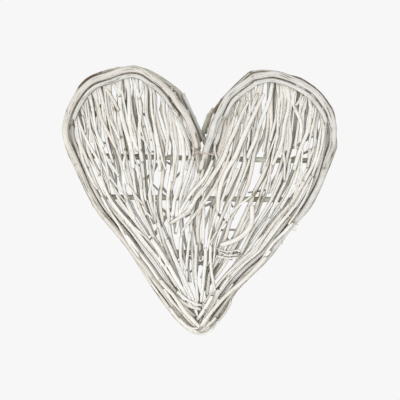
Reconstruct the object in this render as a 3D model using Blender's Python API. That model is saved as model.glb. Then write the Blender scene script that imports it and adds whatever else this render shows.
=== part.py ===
"""A flat heart woven from whitewashed willow rods, lying on its back.

Metres, +Z up: the front of the heart faces up, its tip points to -Y, and the origin lies on the floor
under the middle of its box. From the floor up it is built in four levels. Struts, braces and back rim
rods come first, then a layer of back twigs, a layer of front twigs, and on top the front rim rods and
a few heavier rods that cross over the middle. Down the flanks the front rim rods come down on to the
back ones. Places are shares of the heart's width and height, and every level, gap and bundle is
worked out from the rods' own diameters.
"""
import math
import random

import bpy
from mathutils import Vector

# Overall sizes
HEART_WIDTH = 0.450
HEART_HEIGHT = 0.4386
GAP = 0.0003
BUNDLE_GAP = 0.0008

# Rod and wire diameters
BACK_ROD_DIAMETER = 0.0094
STRUT_DIAMETER = 0.0090
BRACE_DIAMETER = 0.0064
MAIN_ROD_DIAMETER = 0.0120
INNER_ROD_DIAMETER = 0.0080
SECOND_ROD_DIAMETER = 0.0074
TIP_ROD_DIAMETER = 0.0076
TWIG_DIAMETER = 0.0066
CROSSING_ROD_DIAMETER = 0.0098
THIN_CROSSING_DIAMETER = 0.0062
WIRE_DIAMETER = 0.0018

# Counts of twigs in each lobe
BACK_TWIGS = 8
FRONT_TWIGS = 10

# How a rod narrows from its butt to its other end, and how much twigs differ
ROD_TAPER = 0.80
TWIG_TAPER = 0.84
TWIG_SPREAD = 0.10

# Sides and lengths of the faceted rods
ROD_SIDES = 8
TWIG_SIDES = 6
RIM_STATIONS = 34
TWIG_STEPS = 10
SHORT_STEPS = 6
GUIDE_STEPS = 600

# Half the window, in guide steps, over which a lobe's direction is read
DIRECTION_WINDOW = 8

# Outline of each lobe from inside the cleft over the crown to the tip, as shares of width and height
LEFT_OUTLINE = (
    (0.029, 0.139), (0.014, 0.229), (-0.042, 0.351), (-0.065, 0.400), (-0.080, 0.418), (-0.159, 0.475),
    (-0.230, 0.500), (-0.322, 0.493), (-0.412, 0.455), (-0.477, 0.361), (-0.500, 0.270), (-0.491, 0.196), (-0.448, 0.096),
    (-0.378, -0.041), (-0.272, -0.175), (-0.184, -0.316), (-0.118, -0.411), (-0.065, -0.469),
    (0.006, -0.5045),
)
RIGHT_OUTLINE = (
    (-0.018, 0.099), (0.014, 0.229), (0.036, 0.315), (0.087, 0.390), (0.171, 0.475), (0.194, 0.484),
    (0.290, 0.479), (0.403, 0.426), (0.467, 0.353), (0.492, 0.290), (0.5012, 0.206), (0.496, 0.182),
    (0.471, 0.116), (0.413, -0.017), (0.330, -0.117), (0.250, -0.225), (0.138, -0.340), (0.079, -0.439), (0.006, -0.5045),
)

# Where each main rod runs: shares of its lobe's outline, and how far inside the outline it lies
LEFT_MAIN_STATIONS = (
    (0.030, 0.0140), (0.100, 0.0105), (0.157, 0.0165), (0.210, 0.0120), (0.262, 0.0075),
    (0.330, 0.0130), (0.420, 0.0090), (0.490, 0.0070), (0.553, 0.0085), (0.620, 0.0062),
    (0.760, 0.0062), (0.840, 0.0110), (0.890, 0.0135), (0.960, 0.0110), (0.993, 0.0080),
)
RIGHT_MAIN_STATIONS = (
    (0.010, 0.0088), (0.050, 0.0085), (0.085, 0.0112), (0.129, 0.0125), (0.177, 0.0075),
    (0.242, 0.0130), (0.300, 0.0075), (0.410, 0.0068), (0.466, 0.0066), (0.530, 0.0104),
    (0.600, 0.0062), (0.640, 0.0080), (0.700, 0.0062), (0.780, 0.0062), (0.838, 0.0090),
    (0.890, 0.0080), (0.940, 0.0120), (0.998, 0.0085),
)

# Shares of the outline where the other rim rods begin and end
LEFT_INNER_SPAN = (0.112, 0.462)
RIGHT_INNER_SPAN = (0.066, 0.468)
LEFT_SECOND_SPAN = (0.474, 0.930)
RIGHT_SECOND_SPAN = (0.490, 0.915)
LEFT_BACK_SPAN = (0.046, 0.995)
RIGHT_BACK_SPAN = (0.085, 0.979)
LEFT_BACK_INNER_SPAN = (0.105, 0.930)
RIGHT_BACK_INNER_SPAN = (0.135, 0.905)

# The front rods come down from the crown's level to the back rods between these shares, and at the
# tip the right one climbs over the left one
LEFT_DIP = (0.470, 0.560)
RIGHT_DIP = (0.475, 0.560)
TIP_CLIMB = (0.905, 0.968)

# The infill: how far its tops and sides tuck under the front rods, where its twigs end, and the line
# down the middle where the lobes' twigs meet, as depths below the middle and shares across
TOP_TUCK = 0.0095
SIDE_TUCK = 0.0080
SHOULDER_SHARES = (0.10, 0.452)
LEAN = 0.022
CENTRE_STATIONS = ((-0.20, 0.012), (0.06, -0.050), (0.28, -0.036), (0.42, 0.000))
FIRST_ROW = 0.300
LAST_ROW = -0.400
ROW_STEP = 0.100
FOOT_SCATTER = 0.030
WAVE = 0.0009
BACK_DRIFT = 0.10
FRONT_DRIFT = -0.04

# Straight pieces on the floor: ends as shares of width and height
STRUTS = {
    "cross_strut_upper": ((-0.420, 0.166), (0.432, 0.146)),
    "cross_strut_lower": ((-0.343, 0.012), (0.357, 0.000)),
    "cross_strut_bottom": ((-0.180, -0.190), (0.172, -0.206)),
}
BRACES = {
    "back_brace_left": ((-0.190, -0.168), (-0.105, -0.030)),
    "back_brace_tip": ((0.008, -0.345), (0.070, -0.236)),
}

# Rods over the top of the infill: shares of width and height along each
CROSSING_RODS = {
    "crossing_rod_left": ((0.176, 0.366), (0.150, 0.318), (0.118, 0.250), (0.089, 0.196), (0.057, 0.113),
                          (0.025, 0.055), (-0.008, 0.014), (-0.040, -0.039), (-0.109, -0.091)),
    "crossing_rod_middle": ((0.226, 0.398), (0.196, 0.340), (0.165, 0.265), (0.127, 0.171), (0.093, 0.106),
                            (0.073, 0.039), (0.065, -0.045)),
    "crossing_rod_right": ((0.190, -0.020), (0.188, -0.075), (0.172, -0.114), (0.138, -0.148),
                           (0.076, -0.172)),
}
UPRIGHT_ROD = ((0.014, -0.034), (0.015, -0.100), (0.014, -0.164))
TIP_RODS = {
    "tip_rod_left": ((-0.092, -0.366), (-0.050, -0.412), (-0.008, -0.458)),
    "tip_rod_right": ((0.072, -0.335), (0.040, -0.382), (0.002, -0.424)),
}

# Wires over the rods: one across both main rods in the cleft, one across the right lobe's flank
CLEFT_WIRE_ENDS = ((-0.025, 0.178), (0.051, 0.166))
FLANK_WIRE_SHARE = 0.700
WIRE_DROP = 0.0050
WIRE_CLEARANCE = 0.0012

# Finishes, as linear colours
WHITEWASH = (0.76, 0.74, 0.70)
BARE_WILLOW = (0.44, 0.42, 0.31)
SHADED_WILLOW = (0.58, 0.56, 0.48)
STEEL_WIRE = (0.42, 0.38, 0.33)


def flat_height(diameter, sides):
    """Height of a faceted rod that rests on one of its flats."""
    return diameter * math.cos(math.pi / sides)


LOW_LEVEL = flat_height(max(BACK_ROD_DIAMETER, STRUT_DIAMETER), ROD_SIDES) + GAP
THICKEST_TWIG = flat_height(TWIG_DIAMETER * (1 + TWIG_SPREAD), TWIG_SIDES)
FRONT_TWIG_LEVEL = LOW_LEVEL + THICKEST_TWIG + GAP
TOP_LEVEL = FRONT_TWIG_LEVEL + THICKEST_TWIG + GAP


def curve_through(points, steps):
    """Evenly spaced points along a smooth curve through the given ones."""
    ends = [2 * points[0] - points[1]] + list(points) + [2 * points[-1] - points[-2]]
    fine = []
    for before, start, end, after in zip(ends, ends[1:], ends[2:], ends[3:]):
        for step in range(40):
            t = step / 40
            fine.append(0.5 * (2 * start + (end - before) * t
                               + (2 * before - 5 * start + 4 * end - after) * t ** 2
                               + (3 * start - before - 3 * end + after) * t ** 3))
    fine.append(points[-1].copy())
    lengths = [0.0]
    for start, end in zip(fine, fine[1:]):
        lengths.append(lengths[-1] + (end - start).length)
    even = []
    index = 0
    for step in range(steps + 1):
        wanted = lengths[-1] * step / steps
        while index < len(fine) - 2 and lengths[index + 1] < wanted:
            index += 1
        span = max(lengths[index + 1] - lengths[index], 1e-9)
        even.append(fine[index].lerp(fine[index + 1], min(1.0, (wanted - lengths[index]) / span)))
    return even


def smooth_step(low, high, value):
    """0 below low, 1 above high, and a soft step between."""
    t = min(1.0, max(0.0, (value - low) / (high - low)))
    return t * t * (3 - 2 * t)


def read_stations(stations, share):
    """The softly stepped value at a share, from pairs of share and value."""
    if share <= stations[0][0]:
        return stations[0][1]
    for (low, first), (high, second) in zip(stations, stations[1:]):
        if share <= high:
            return first + (second - first) * smooth_step(low, high, share)
    return stations[-1][1]


def heart_place(across, up, height=0.0):
    """A point from shares of the heart's width and height."""
    return Vector((across * HEART_WIDTH, up * HEART_HEIGHT, height))


class Lobe:
    """One half of the heart. side is 1 for the lobe at -X, whose inside is left of its outline."""

    def __init__(self, side, outline, main_stations, dip, climb=None):
        self.side = side
        self.line = curve_through([heart_place(*share) for share in outline], GUIDE_STEPS)
        self.main_stations = main_stations
        self.dip = dip
        self.climb = climb

    def place(self, share, inset):
        """The point at a share of the outline's length, moved into the lobe by an inset."""
        index = min(GUIDE_STEPS, max(0, round(share * GUIDE_STEPS)))
        ahead = self.line[min(GUIDE_STEPS, index + DIRECTION_WINDOW)]
        behind = self.line[max(0, index - DIRECTION_WINDOW)]
        direction = (ahead - behind).normalized()
        inward = Vector((-direction.y, direction.x, 0.0)) * self.side
        return self.line[index] + inward * inset

    def main_radius(self, share):
        return MAIN_ROD_DIAMETER / 2 * (1 - (1 - ROD_TAPER) * share)

    def main_inset(self, share):
        return read_stations(self.main_stations, share)

    def bundle_edge(self, share):
        """Inset of the inner edge of the main rod and the rod beside it down the flank."""
        return self.main_inset(share) + self.main_radius(share) + BUNDLE_GAP + SECOND_ROD_DIAMETER

    def front_level(self, share):
        """Height of the underside of a front rim rod: over the twigs at the crown, low down the flank."""
        level = TOP_LEVEL + (LOW_LEVEL - TOP_LEVEL) * smooth_step(*self.dip, share)
        if self.climb:
            level += (flat_height(MAIN_ROD_DIAMETER, ROD_SIDES) + GAP) * smooth_step(*self.climb, share)
        return level


def wood(name, colour, roughness):
    material = bpy.data.materials.new(name)
    material.use_nodes = True
    shader = material.node_tree.nodes["Principled BSDF"]
    shader.inputs["Base Color"].default_value = (*colour, 1.0)
    shader.inputs["Roughness"].default_value = roughness
    return material


def make_rod(name, route, radii, sides, material, parent):
    """A rod along a route of points on its middle line, with flat facets up and down."""
    curve = bpy.data.curves.new(name, "CURVE")
    curve.dimensions = "3D"
    curve.twist_mode = "Z_UP"
    curve.bevel_depth = max(radii)
    curve.bevel_resolution = (sides - 4) // 2
    curve.use_fill_caps = True
    spline = curve.splines.new("POLY")
    spline.points.add(len(route) - 1)
    middle = route[len(route) // 2]
    for point, place, radius in zip(spline.points, route, radii):
        point.co = (*(place - middle), 1.0)
        point.radius = radius / max(radii)
        point.tilt = math.pi / sides if sides == ROD_SIDES else 0.0
    curve.materials.append(material)
    rod = bpy.data.objects.new(name, curve)
    rod.location = middle
    rod.parent = parent
    bpy.context.scene.collection.objects.link(rod)
    return rod


def on_level(points, bottoms, radii, sides):
    """The same points, lifted so that a rod of these radii rests on the given heights."""
    half_share = math.cos(math.pi / sides)
    return [Vector((point.x, point.y, bottom + radius * half_share))
            for point, bottom, radius in zip(points, bottoms, radii)]


def tapered(diameter, taper, steps):
    """Radii from the butt to the far end of a rod."""
    return [diameter / 2 * (1 - (1 - taper) * step / steps) for step in range(steps + 1)]


def make_rim_rod(name, lobe, span, inset, radius, level, sides, material, parent):
    """A rod that follows a lobe's outline over a span of shares.

    inset, radius and level are functions of the share. Rods side by side bend at the same stations.
    """
    stations = [station / RIM_STATIONS for station in range(RIM_STATIONS + 1)]
    margin = 0.3 / RIM_STATIONS
    inner_stations = [share for share in stations if span[0] + margin < share < span[1] - margin]
    shares = [span[0]] + inner_stations + [span[1]]
    points = [lobe.place(share, inset(share)) for share in shares]
    radii = [radius(share) for share in shares]
    route = on_level(points, [level(share) for share in shares], radii, sides)
    return make_rod(name, route, radii, sides, material, parent)


def make_rim(side_name, lobe, spans, materials, parent):
    """The six rim rods of one lobe."""
    white, shaded = materials
    back_radius = BACK_ROD_DIAMETER / 2
    main_span = (lobe.main_stations[0][0], lobe.main_stations[-1][0])
    make_rim_rod(f"back_rod_{side_name}", lobe, spans["back"], lambda share: back_radius,
                 lambda share: back_radius, lambda share: 0.0, ROD_SIDES, shaded, parent)
    make_rim_rod(f"back_rod_inner_{side_name}", lobe, spans["back_inner"],
                 lambda share: 3 * back_radius + BUNDLE_GAP, lambda share: back_radius,
                 lambda share: 0.0, ROD_SIDES, shaded, parent)
    make_rim_rod(f"main_rod_{side_name}", lobe, main_span, lobe.main_inset, lobe.main_radius,
                 lobe.front_level, ROD_SIDES, white, parent)

    def inner_radius(share):
        return INNER_ROD_DIAMETER / 2

    def second_radius(share):
        return SECOND_ROD_DIAMETER / 2

    def beside_main(radius):
        return lambda share: (lobe.main_inset(share) + lobe.main_radius(share) + BUNDLE_GAP
                              + radius(share))

    make_rim_rod(f"inner_rod_{side_name}", lobe, spans["inner"], beside_main(inner_radius), inner_radius,
                 lambda share: TOP_LEVEL, TWIG_SIDES, white, parent)
    make_rim_rod(f"second_rod_{side_name}", lobe, spans["second"], beside_main(second_radius),
                 second_radius, lambda share: LOW_LEVEL, TWIG_SIDES, white, parent)


def across_at(line, height):
    """The X of a descending line of points at a height."""
    for upper, lower in zip(line, line[1:]):
        if lower.y <= height:
            return upper.lerp(lower, (upper.y - height) / max(upper.y - lower.y, 1e-9)).x
    return line[-1].x


def top_at(line, across):
    """The highest Y at which a line of points passes over an X."""
    tops = [start.lerp(end, (across - start.x) / (end.x - start.x)).y
            for start, end in zip(line, line[1:])
            if min(start.x, end.x) <= across <= max(start.x, end.x) and start.x != end.x]
    return max(tops)


def make_twigs(layer, count, drift, level, lobe, side_name, random_source, material, parent):
    """One layer of infill twigs in one lobe, fanned between the flank and the middle of the heart."""
    half_twig = TWIG_DIAMETER * (1 + TWIG_SPREAD) / 2
    clear = half_twig + WAVE + GAP
    fine_shares = [step / GUIDE_STEPS for step in range(GUIDE_STEPS + 1)]
    arch = [lobe.place(share, TOP_TUCK) for share in fine_shares
            if SHOULDER_SHARES[0] <= share <= SHOULDER_SHARES[1]]
    flank = [lobe.place(share, lobe.bundle_edge(share) + clear) for share in fine_shares
             if share >= SHOULDER_SHARES[1]]
    cleft_side = [lobe.place(share, SIDE_TUCK) for share in reversed(fine_shares)
                  if 0.05 <= share <= 0.20]

    def row_edges(height):
        outer = across_at(flank, min(height, flank[0].y))
        inner = read_stations(CENTRE_STATIONS, -height / HEART_HEIGHT) * HEART_WIDTH - lobe.side * clear
        if height > cleft_side[-1].y:
            beside_cleft = across_at(cleft_side, height)
            inner = min(inner, beside_cleft) if lobe.side > 0 else max(inner, beside_cleft)
        return outer, inner

    def lowest_row(neighbours):
        """The lowest row where this many twigs still lie side by side."""
        share = FIRST_ROW
        while share > LAST_ROW:
            outer, inner = row_edges(share * HEART_HEIGHT)
            if abs(inner - outer) < neighbours * 2 * clear:
                break
            share -= 0.005
        return share

    for number in range(count):
        fraction = (number + 0.5) / count
        diameter = TWIG_DIAMETER * (1 + TWIG_SPREAD * random_source.uniform(-1, 1))
        neighbours = count / (4 if number % 4 == 1 else 2 if number % 2 else 1)
        foot_share = lowest_row(neighbours) + FOOT_SCATTER * random_source.random()
        phase = random_source.uniform(0, 2 * math.pi)
        first_outer, first_inner = row_edges(FIRST_ROW * HEART_HEIGHT)
        drifted = fraction - drift / 2
        across = first_outer + (first_inner - first_outer) * drifted
        top_across = across - lobe.side * LEAN * HEART_WIDTH * (1 - fraction)
        top = Vector((top_across, top_at(arch, top_across), 0.0))
        points = [top]
        rows = [FIRST_ROW - ROW_STEP * row for row in range(round((FIRST_ROW - LAST_ROW) / ROW_STEP) + 1)]
        rows = [row for row in rows if row > foot_share + ROW_STEP / 3] + [foot_share]
        for row in rows:
            height = row * HEART_HEIGHT
            if height > top.y - ROW_STEP / 3 * HEART_HEIGHT:
                continue
            depth = (FIRST_ROW - row) / (FIRST_ROW - LAST_ROW)
            outer, inner = row_edges(height)
            across = outer + (inner - outer) * (fraction + drift * (depth - 0.5))
            points.append(Vector((across, height, 0.0)))
        line = curve_through(points, TWIG_STEPS)
        for step, point in enumerate(line):
            point.x += WAVE * math.sin(phase + 9.0 * step / TWIG_STEPS)
        radii = tapered(diameter, TWIG_TAPER, TWIG_STEPS)
        route = on_level(line, [level] * len(line), radii, TWIG_SIDES)
        make_rod(f"{layer}_twig_{side_name}_{number + 1:02d}", route, radii, TWIG_SIDES, material, parent)


def make_straight(name, ends, diameter, sides, material, parent):
    """A straight strut or brace, flat on the floor."""
    start, end = (heart_place(*share) for share in ends)
    points = [start.lerp(end, step / 2) for step in range(3)]
    radii = [diameter / 2] * 3
    route = on_level(points, [0.0] * 3, radii, sides)
    return make_rod(name, route, radii, sides, material, parent)


def make_top_rod(name, shares, levels, diameter, steps, material, parent):
    """A rod that lies over the infill, from one level at its butt to another at its far end."""
    line = curve_through([heart_place(*share) for share in shares], steps)
    radii = tapered(diameter, TWIG_TAPER, steps)
    start, end = levels
    bottoms = [start + (end - start) * step / steps for step in range(steps + 1)]
    route = on_level(line, bottoms, radii, TWIG_SIDES)
    return make_rod(name, route, radii, TWIG_SIDES, material, parent)


def make_wire(name, start, end, height, material, parent):
    """A wire bent over the rods like a staple, with both ends turned down beside them."""
    radius = WIRE_DIAMETER / 2
    along = (end - start).normalized()
    half_span = (end - start).length / 2
    middle = (start + end) / 2 + Vector((0.0, 0.0, height + GAP + radius))
    corner = 2 * WIRE_DIAMETER
    profile = [(-half_span, -corner - WIRE_DROP), (-half_span, -corner)]
    profile += [(-half_span + corner * (1 - math.cos(a)), -corner * (1 - math.sin(a)))
                for a in (math.pi / 6, math.pi / 3, math.pi / 2)]
    profile += [(-across, drop) for across, drop in reversed(profile)]
    route = [middle + along * across + Vector((0.0, 0.0, drop)) for across, drop in profile]
    return make_rod(name, route, [radius] * len(route), TWIG_SIDES, material, parent)


def build_heart():
    for old in list(bpy.data.objects):
        bpy.data.objects.remove(old)
    heart = bpy.data.objects.new("willow_heart", None)
    bpy.context.scene.collection.objects.link(heart)
    white = wood("whitewashed_willow", WHITEWASH, 0.72)
    shaded = wood("shaded_willow", SHADED_WILLOW, 0.78)
    bare = wood("bare_willow", BARE_WILLOW, 0.80)
    wire = wood("tie_wire", STEEL_WIRE, 0.50)
    wire.node_tree.nodes["Principled BSDF"].inputs["Metallic"].default_value = 0.8

    left = Lobe(1, LEFT_OUTLINE, LEFT_MAIN_STATIONS, LEFT_DIP)
    right = Lobe(-1, RIGHT_OUTLINE, RIGHT_MAIN_STATIONS, RIGHT_DIP, TIP_CLIMB)
    left_spans = {"back": LEFT_BACK_SPAN, "back_inner": LEFT_BACK_INNER_SPAN, "inner": LEFT_INNER_SPAN,
                  "second": LEFT_SECOND_SPAN}
    right_spans = {"back": RIGHT_BACK_SPAN, "back_inner": RIGHT_BACK_INNER_SPAN,
                   "inner": RIGHT_INNER_SPAN, "second": RIGHT_SECOND_SPAN}

    for name, ends in STRUTS.items():
        make_straight(name, ends, STRUT_DIAMETER, ROD_SIDES, bare, heart)
    for name, ends in BRACES.items():
        make_straight(name, ends, BRACE_DIAMETER, TWIG_SIDES, bare, heart)
    make_rim("left", left, left_spans, (white, shaded), heart)
    make_rim("right", right, right_spans, (white, shaded), heart)
    for seed, (side_name, lobe) in enumerate((("left", left), ("right", right))):
        random_source = random.Random(11 + seed)
        make_twigs("back", BACK_TWIGS, BACK_DRIFT, LOW_LEVEL, lobe, side_name, random_source, shaded,
                   heart)
        make_twigs("front", FRONT_TWIGS, FRONT_DRIFT, FRONT_TWIG_LEVEL, lobe, side_name, random_source,
                   white, heart)
    for name, shares in CROSSING_RODS.items():
        make_top_rod(name, shares, (TOP_LEVEL, TOP_LEVEL), CROSSING_ROD_DIAMETER, TWIG_STEPS, white, heart)
    make_top_rod("upright_rod", UPRIGHT_ROD, (TOP_LEVEL, TOP_LEVEL), THIN_CROSSING_DIAMETER, SHORT_STEPS,
                 white, heart)
    main_height = flat_height(MAIN_ROD_DIAMETER, ROD_SIDES)
    on_mains = LOW_LEVEL + main_height + GAP
    for name, shares in TIP_RODS.items():
        make_top_rod(name, shares, (TOP_LEVEL, on_mains), TIP_ROD_DIAMETER, SHORT_STEPS, white, heart)
    make_wire("tie_wire_cleft", *(heart_place(*share) for share in CLEFT_WIRE_ENDS),
              TOP_LEVEL + main_height, wire, heart)
    reach = WIRE_CLEARANCE + WIRE_DIAMETER / 2
    outer_edge = right.main_inset(FLANK_WIRE_SHARE) - right.main_radius(FLANK_WIRE_SHARE) - reach
    inner_edge = right.bundle_edge(FLANK_WIRE_SHARE) + reach
    make_wire("tie_wire_flank", right.place(FLANK_WIRE_SHARE, outer_edge),
              right.place(FLANK_WIRE_SHARE, inner_edge), LOW_LEVEL + main_height, wire, heart)


build_heart()
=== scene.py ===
"""The looks of a flat heart woven from whitewashed willow rods, lying on its back."""
import math
import random

import bmesh
import bpy
from mathutils import Matrix, Vector, noise


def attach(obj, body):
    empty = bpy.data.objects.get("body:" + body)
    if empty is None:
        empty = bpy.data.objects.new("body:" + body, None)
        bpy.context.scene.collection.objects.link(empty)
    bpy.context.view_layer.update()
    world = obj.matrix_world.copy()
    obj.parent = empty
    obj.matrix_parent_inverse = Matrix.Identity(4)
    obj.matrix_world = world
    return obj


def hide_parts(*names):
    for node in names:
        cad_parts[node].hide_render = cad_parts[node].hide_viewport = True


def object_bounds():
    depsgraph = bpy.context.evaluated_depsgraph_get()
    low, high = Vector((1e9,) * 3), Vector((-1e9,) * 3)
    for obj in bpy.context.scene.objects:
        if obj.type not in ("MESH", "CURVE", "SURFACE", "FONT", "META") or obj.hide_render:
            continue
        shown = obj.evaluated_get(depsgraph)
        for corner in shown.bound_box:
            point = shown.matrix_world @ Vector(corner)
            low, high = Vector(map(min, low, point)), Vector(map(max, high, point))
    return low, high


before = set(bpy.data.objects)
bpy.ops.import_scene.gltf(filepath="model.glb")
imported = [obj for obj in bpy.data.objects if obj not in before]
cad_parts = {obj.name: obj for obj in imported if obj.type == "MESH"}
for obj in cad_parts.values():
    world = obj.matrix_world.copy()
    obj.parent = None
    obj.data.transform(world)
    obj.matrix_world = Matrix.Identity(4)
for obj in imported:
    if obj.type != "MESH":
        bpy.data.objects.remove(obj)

cad_low, cad_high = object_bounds()

# Bark and whitewash
# Every rod is willow in its bark, brushed and sprayed with whitewash from the front. The wash lies thick
# on what faces up, is streaked along the grain, and leaves olive and brown bark at the sides, at knots
# and on cut ends. The darker bark and shaded wash at the sides of each rod are also painted shade, for
# the shade and contact shadow along a rod's sides.
BARE_PLACES = ((0.205, 0.020, 0.012), (0.000, 0.105, 0.004), (-0.312, 0.336, 0.007))


def add_node(tree, kind, label, values=None, **settings):
    """Add a node, set its own settings, and set its unlinked inputs by name or number."""
    node = tree.nodes.new(kind)
    node.label = label
    for name, value in settings.items():
        setattr(node, name, value)
    for name, value in (values or {}).items():
        node.inputs[name].default_value = value
    return node


def mix_colours(tree, label, mask, first, second, blend="MIX"):
    """Mix two colours by a mask. Each of the three is a socket or a plain value."""
    node = add_node(tree, "ShaderNodeMix", label, data_type="RGBA", blend_type=blend)
    for number, given in ((0, mask), (6, first), (7, second)):
        if isinstance(given, bpy.types.NodeSocket):
            tree.links.new(given, node.inputs[number])
        else:
            node.inputs[number].default_value = given
    return node.outputs[2]


def mix_values(tree, label, mask, first, second):
    """Mix two values by a mask."""
    node = add_node(tree, "ShaderNodeMix", label, data_type="FLOAT")
    for number, given in ((0, mask), (2, first), (3, second)):
        tree.links.new(given, node.inputs[number])
    return node.outputs[0]


def arithmetic(tree, label, operation, *given, clamp=False):
    """A math node whose inputs are sockets or plain numbers."""
    node = add_node(tree, "ShaderNodeMath", label, operation=operation, use_clamp=clamp)
    for number, value in enumerate(given):
        if isinstance(value, bpy.types.NodeSocket):
            tree.links.new(value, node.inputs[number])
        else:
            node.inputs[number].default_value = value
    return node.outputs[0]


def ramp_mask(tree, label, value, low, high):
    """A soft step from 0 to 1 between two values."""
    node = add_node(tree, "ShaderNodeMapRange", label,
                    {"From Min": low, "From Max": high}, interpolation_type="SMOOTHSTEP")
    tree.links.new(value, node.inputs["Value"])
    return node.outputs["Result"]


def noise_value(tree, label, vector, scale, detail, roughness=0.5):
    node = add_node(tree, "ShaderNodeTexNoise", label,
                    {"Scale": scale, "Detail": detail, "Roughness": roughness})
    tree.links.new(vector, node.inputs["Vector"])
    return node.outputs["Fac"]


def stretched(tree, label, vector, scale):
    node = add_node(tree, "ShaderNodeMapping", label, {"Scale": scale})
    tree.links.new(vector, node.inputs["Vector"])
    return node.outputs["Vector"]


def make_bark_group():
    """Bark under whitewash: colour, roughness and relief from a rod's own straightened coordinates."""
    group = bpy.data.node_groups.new("washed_bark", "ShaderNodeTree")
    for name, kind, value in (
        ("Bark Light", "NodeSocketColor", (0.34, 0.30, 0.20, 1.0)),
        ("Bark Dark", "NodeSocketColor", (0.10, 0.075, 0.045, 1.0)),
        ("Wash Light", "NodeSocketColor", (0.86, 0.85, 0.82, 1.0)),
        ("Wash Warm", "NodeSocketColor", (0.83, 0.77, 0.71, 1.0)),
        ("Wash Shade", "NodeSocketColor", (0.58, 0.56, 0.50, 1.0)),
        ("Wash", "NodeSocketFloat", 0.8),
        ("Wash Behind", "NodeSocketFloat", 0.4),
        ("Streaks", "NodeSocketFloat", 1.25),
    ):
        socket = group.interface.new_socket(name, in_out="INPUT", socket_type=kind)
        socket.default_value = value
    for name, kind in (("Color", "NodeSocketColor"), ("Roughness", "NodeSocketFloat"),
                       ("Height", "NodeSocketFloat")):
        group.interface.new_socket(name, in_out="OUTPUT", socket_type=kind)
    given = group.nodes.new("NodeGroupInput")
    result = group.nodes.new("NodeGroupOutput")

    straight = add_node(group, "ShaderNodeAttribute", "place on the straight rod",
                        attribute_name="straight").outputs["Vector"]
    tone = add_node(group, "ShaderNodeAttribute", "tone of the rod", attribute_name="tone").outputs["Fac"]
    tint = add_node(group, "ShaderNodeAttribute", "warmth of the rod",
                    attribute_name="warmth").outputs["Fac"]
    wear = add_node(group, "ShaderNodeAttribute", "knots, ends and bare places",
                    attribute_name="wear").outputs["Fac"]
    normal = add_node(group, "ShaderNodeNewGeometry", "surface").outputs["Normal"]
    axes = add_node(group, "ShaderNodeSeparateXYZ", "normal's parts")
    group.links.new(normal, axes.inputs[0])
    # Painted shade: by which way the surface faces, the wash thins towards a rod's sides, so the sides
    # show darker bark and the Wash Shade colour, as in shade.
    facing = ramp_mask(group, "faces up", axes.outputs["Z"], 0.26, 0.82)

    along_grain = stretched(group, "drawn out along the grain", straight, (1.0, 1.0, 0.06))
    grain = noise_value(group, "bark grain", along_grain, 1500.0, 3.0, 0.6)
    streaks = noise_value(group, "brush streaks", along_grain, 520.0, 2.0)
    patches = noise_value(group, "patches of thin wash", stretched(
        group, "patch shape", straight, (1.0, 1.0, 0.35)), 130.0, 3.0, 0.6)
    specks = noise_value(group, "flecks of the bark", stretched(
        group, "fleck shape", straight, (1.0, 1.0, 0.55)), 700.0, 1.0)

    bark_mix = arithmetic(group, "bark light and dark", "MULTIPLY_ADD", grain, 1.5,
                          arithmetic(group, "bark tone", "MULTIPLY_ADD", tone, 0.6, -0.65), clamp=True)
    bark = mix_colours(group, "bark", bark_mix, given.outputs["Bark Dark"], given.outputs["Bark Light"])

    cover = mix_values(group, "wash and painted shade where it faces", facing, given.outputs["Wash Behind"],
                       given.outputs["Wash"])
    cover = arithmetic(group, "wash by rod", "MULTIPLY_ADD", tone, 0.18, cover)
    thin = arithmetic(group, "streaks about their mean", "SUBTRACT", streaks, 0.5)
    thin = arithmetic(group, "thin streaks", "MULTIPLY_ADD", thin, given.outputs["Streaks"], 0.085)
    thin = arithmetic(group, "thin patches", "MULTIPLY_ADD", patches, 0.95, thin)
    thin = arithmetic(group, "wear and knots", "MULTIPLY_ADD", wear, 0.75, thin)
    left_over = arithmetic(group, "wash left", "SUBTRACT", cover, thin)
    mask = ramp_mask(group, "wash mask", left_over, -0.12, 0.20)
    fleck = ramp_mask(group, "fleck mask", specks, 0.650, 0.71)
    mask = arithmetic(group, "flecks let bark through", "MULTIPLY_ADD", fleck, -0.55, mask, clamp=True)

    # The Wash Shade colour shows where the wash is thin: in streaks and patches, and on a rod's sides
    # through the facing mask, where it is painted shade.
    shade_mix = arithmetic(group, "depth of the wash and painted shade", "MULTIPLY_ADD", left_over, 0.9, 0.25, clamp=True)
    light = mix_colours(group, "warm and cool rods", tint, given.outputs["Wash Light"],
                        given.outputs["Wash Warm"])
    wash = mix_colours(group, "wash", shade_mix, given.outputs["Wash Shade"], light)
    colour = mix_colours(group, "wash over bark", mask, bark, wash)
    group.links.new(colour, result.inputs["Color"])
    rough = arithmetic(group, "chalky wash", "MULTIPLY_ADD", mask, 0.20, 0.62)
    group.links.new(rough, result.inputs["Roughness"])
    height = arithmetic(group, "grain relief", "MULTIPLY_ADD", mask, 0.5,
                        arithmetic(group, "grain share", "MULTIPLY", grain, 0.9))
    group.links.new(height, result.inputs["Height"])
    return group


BARK_GROUP = make_bark_group()


def bark_material(name, relief=0.00035, **values):
    """A willow finish: the bark group with its own colours and amount of wash."""
    material = bpy.data.materials.new(name)
    material.use_nodes = True
    tree = material.node_tree
    shader = tree.nodes["Principled BSDF"]
    bark = add_node(tree, "ShaderNodeGroup", name, node_tree=BARK_GROUP)
    for input_name, value in values.items():
        bark.inputs[input_name.replace("_", " ")].default_value = value
    tree.links.new(bark.outputs["Color"], shader.inputs["Base Color"])
    tree.links.new(bark.outputs["Roughness"], shader.inputs["Roughness"])
    bump = add_node(tree, "ShaderNodeBump", "bark relief", {"Strength": 0.55, "Distance": relief})
    tree.links.new(bark.outputs["Height"], bump.inputs["Height"])
    tree.links.new(bump.outputs["Normal"], shader.inputs["Normal"])
    shader.inputs["Specular IOR Level"].default_value = 0.25
    return material


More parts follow.
